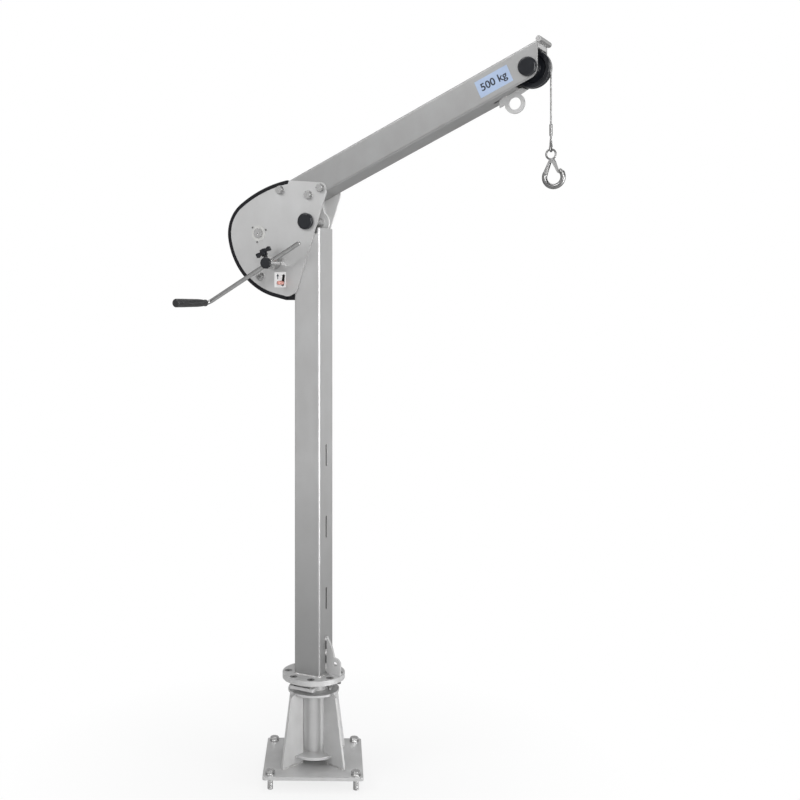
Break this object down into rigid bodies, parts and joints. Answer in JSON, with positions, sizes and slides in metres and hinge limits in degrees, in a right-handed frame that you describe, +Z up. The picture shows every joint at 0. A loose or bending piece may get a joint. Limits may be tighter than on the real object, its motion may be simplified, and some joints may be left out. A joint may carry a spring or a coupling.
{
  "type": "davit crane",
  "caption": "Turning davit crane with a square mast, a slanted boom, an enclosed crank winch and a wire rope hook.",
  "frame": {"origin": "middle of the base plate's underside", "axes": "+X along the boom, -Y towards the crank, +Z up along the mast"},
  "size_m": [1.1549, 0.4764, 2.2194],
  "materials": {
    "stainless": "bead-blasted satin",
    "bright_steel": "bright turned",
    "dark_steel": "dull machined",
    "zinc_drum": "zinc plated",
    "black_plastic": "glossy moulded",
    "black_strip": "satin extruded",
    "bush_plastic": "dull turned",
    "bronze": "turned",
    "friction_lining": "pressed fibre",
    "rope_wire": "stranded wire",
    "hook_steel": "polished",
    "knob_red": "moulded",
    "label_blue": "printed film"
  },
  "bodies": {
    "pedestal": {"base_plate": "stainless", "pedestal_ribs": "stainless", "bearing_rings": "stainless", "spindle_bushes": "bush_plastic", "anchor_bolts": "bright_steel", "anchor_washers": "bright_steel"},
    "mast": {"spindle_tube": "stainless", "retaining_ring": "dark_steel", "lower_flange": "stainless", "mast_flange": "stainless", "flange_bolts": "dark_steel", "flange_nuts": "dark_steel", "lock_bar": "stainless", "mast_tube": "stainless", "parking_lug": "stainless", "side_plate_near": "stainless", "side_plate_far": "stainless", "cover_strip": "black_strip", "pivot_pin": "bright_steel", "end_caps": "black_plastic", "head_bolts": "bright_steel", "head_nuts": "bright_steel", "head_washers": "bright_steel", "spacer_tubes": "stainless", "boom_tube": "stainless", "tip_web": "stainless", "boom_ears": "stainless", "cross_rod": "bright_steel", "eye_bracket": "stainless", "capacity_label": "label_blue", "sheave_axle": "bright_steel", "drum_bearings": "bright_steel", "bearing_screws": "dark_steel", "crank_bushes": "bright_steel", "ratchet_wheel": "dark_steel", "pawl_pin": "dark_steel", "rope_run": "rope_wire"},
    "drum": {"drum": "zinc_drum", "drum_shaft": "bright_steel", "gear_wheel": "dark_steel", "rope_winding": "rope_wire"},
    "crank": {"crank_shaft": "bright_steel", "pinion": "dark_steel", "brake_discs": "friction_lining", "brake_hub": "dark_steel", "crank_hub": "bright_steel", "hub_cap": "black_plastic"},
    "rod": {"crank_rod": "bright_steel"},
    "grip": {"crank_grip": "black_plastic"},
    "clamp": {"wing_screw": "black_plastic"},
    "pawl": {"pawl_lever": "dark_steel", "lever_knob": "knob_red"},
    "sheave": {"sheave": "black_plastic", "sheave_bush": "bronze"},
    "rope": {"rope_drop": "rope_wire"},
    "rope_end": {"rope_ferrule": "hook_steel", "rope_thimble": "hook_steel"},
    "hook": {"hook": "hook_steel", "latch_pin": "hook_steel"},
    "latch": {"hook_latch": "hook_steel"}
  },
  "joints": [
    {"name": "mast_swivel", "type": "hinge", "parent": "pedestal", "child": "mast", "pos_m": [0, 0, 0.23], "axis": [0, 0, 1], "continuous": true},
    {"name": "drum_turn", "type": "hinge", "parent": "mast", "child": "drum", "pos_m": [-0.173, 0, 1.661], "axis": [0, 1, 0], "range_deg": [-76, 2445]},
    {"name": "crank_turn", "type": "hinge", "parent": "mast", "child": "crank", "pos_m": [-0.10965, 0, 1.56353], "axis": [0, 1, 0], "range_deg": [-9525, 297]},
    {"name": "sheave_turn", "type": "hinge", "parent": "mast", "child": "sheave", "pos_m": [0.71, 0, 2.10208], "axis": [0, 1, 0], "range_deg": [-56, 1793]},
    {"name": "rope_swing", "type": "hinge", "parent": "mast", "child": "rope", "pos_m": [0.7628, 0, 2.10208], "axis": [0, 1, 0], "range_deg": [-12, 12]},
    {"name": "hook_hoist", "type": "slide", "parent": "rope", "child": "rope_end", "axis": [0, 0, -1], "range_m": [-0.052, 1.652], "deforming": ["rope_drop"]},
    {"name": "hook_rock", "type": "hinge", "parent": "rope_end", "child": "hook", "pos_m": [0.7628, 0, 1.86608], "axis": [0, 1, 0], "range_deg": [-35, 35]},
    {"name": "latch_open", "type": "hinge", "parent": "hook", "child": "latch", "pos_m": [0.7678, 0, 1.84208], "axis": [0, 1, 0], "range_deg": [0, 24], "stiffness_Nm_per_rad": 0.02, "springref_deg": -28.65},
    {"name": "pawl_release", "type": "hinge", "parent": "mast", "child": "pawl", "pos_m": [-0.128, 0, 1.516], "axis": [0, -1, 0], "range_deg": [0, 25], "stiffness_Nm_per_rad": 0.3, "springref_deg": -22.92},
    {"name": "crank_slide", "type": "slide", "parent": "crank", "child": "rod", "axis": [0.8763, 0, 0.4818], "range_m": [-0.1, 0.09]},
    {"name": "grip_spin", "type": "hinge", "parent": "rod", "child": "grip", "pos_m": [-0.33661, -0.108, 1.43875], "axis": [0, -1, 0], "continuous": true},
    {"name": "wing_screw_turn", "type": "hinge", "parent": "crank", "child": "clamp", "pos_m": [-0.1241, -0.0925, 1.58982], "axis": [-0.4818, 0, 0.8763], "range_deg": [0, 90]}
  ],
  "couplings": [
    {"joint": "crank_turn", "follows": "drum_turn", "ratio": -3.8947},
    {"joint": "sheave_turn", "follows": "drum_turn", "ratio": 0.73295},
    {"joint": "hook_hoist", "follows": "drum_turn", "m_per_rad": 0.0387}
  ]
}
